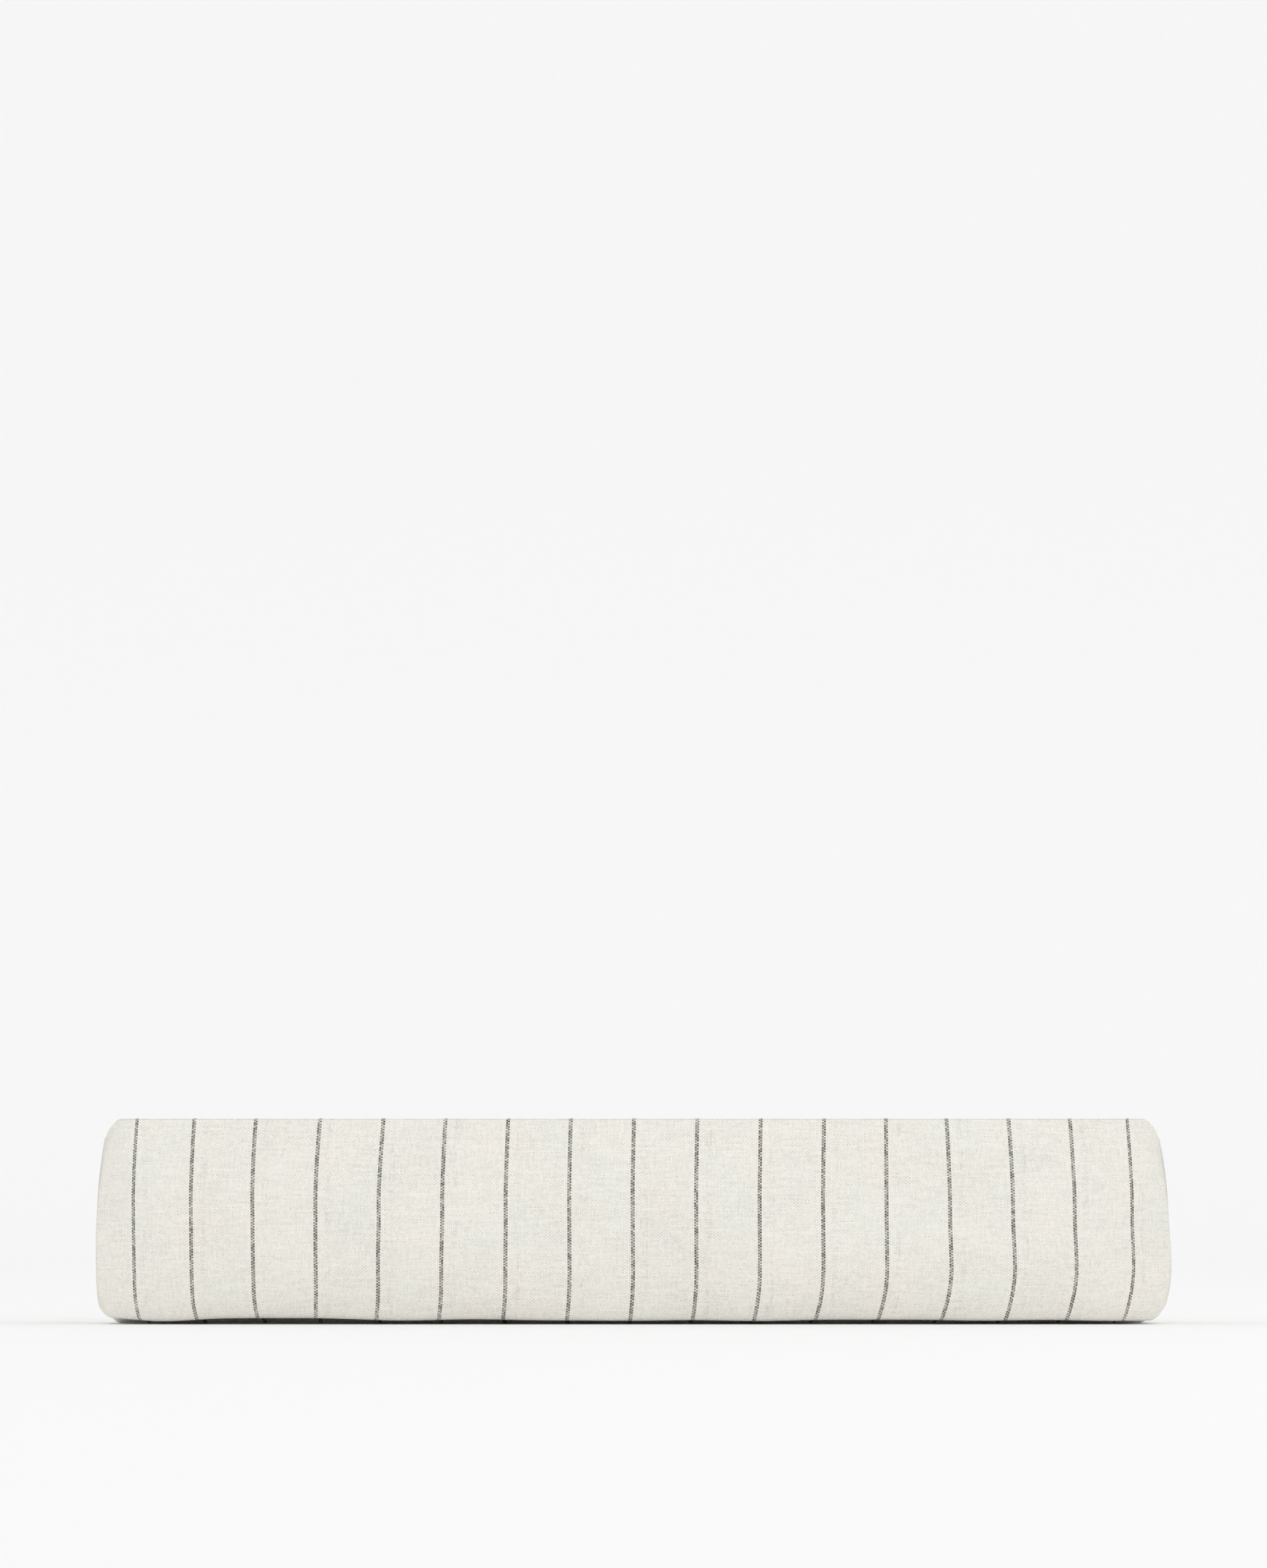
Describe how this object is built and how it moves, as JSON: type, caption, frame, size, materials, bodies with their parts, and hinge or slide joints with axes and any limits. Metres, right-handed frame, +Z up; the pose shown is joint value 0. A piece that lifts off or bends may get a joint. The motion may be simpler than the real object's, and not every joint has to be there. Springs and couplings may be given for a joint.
{
  "type": "table runner",
  "caption": "Long striped linen table runner rolled flat into an oblong packet, with a free end that lifts off the back and top.",
  "frame": {"origin": "middle of the packet's footprint, on the surface it stands on", "axes": "+X across the cloth from selvedge to selvedge, to the right seen from the front; -Y the front; +Z up"},
  "size_m": [0.4, 0.0538, 0.077],
  "materials": {
    "linen": "matte plain-weave linen, off-white with thin charcoal stripes",
    "hem_linen": "the same linen, doubled in a hem",
    "sewing_thread": "off-white spun sewing thread",
    "label_satin": "blank satin tape with a soft sheen"
  },
  "bodies": {
    "packet": {"folded_cloth": "linen", "inner_end_hem": "hem_linen", "inner_hem_thread": "sewing_thread"},
    "top_turn": {"top_panel": "linen"},
    "loose_end": {"loose_end_panel": "linen", "outer_end_hem": "hem_linen", "outer_hem_thread": "sewing_thread", "care_label": "label_satin", "label_thread": "sewing_thread"}
  },
  "joints": [
    {"name": "front_crease", "type": "hinge", "parent": "packet", "child": "top_turn", "pos_m": [0, -0.0229, 0.077], "axis": [1, 0, 0], "range_deg": [0, 170]},
    {"name": "rear_crease", "type": "hinge", "parent": "top_turn", "child": "loose_end", "pos_m": [0, 0.0269, 0.077], "axis": [1, 0, 0], "range_deg": [0, 170]}
  ]
}
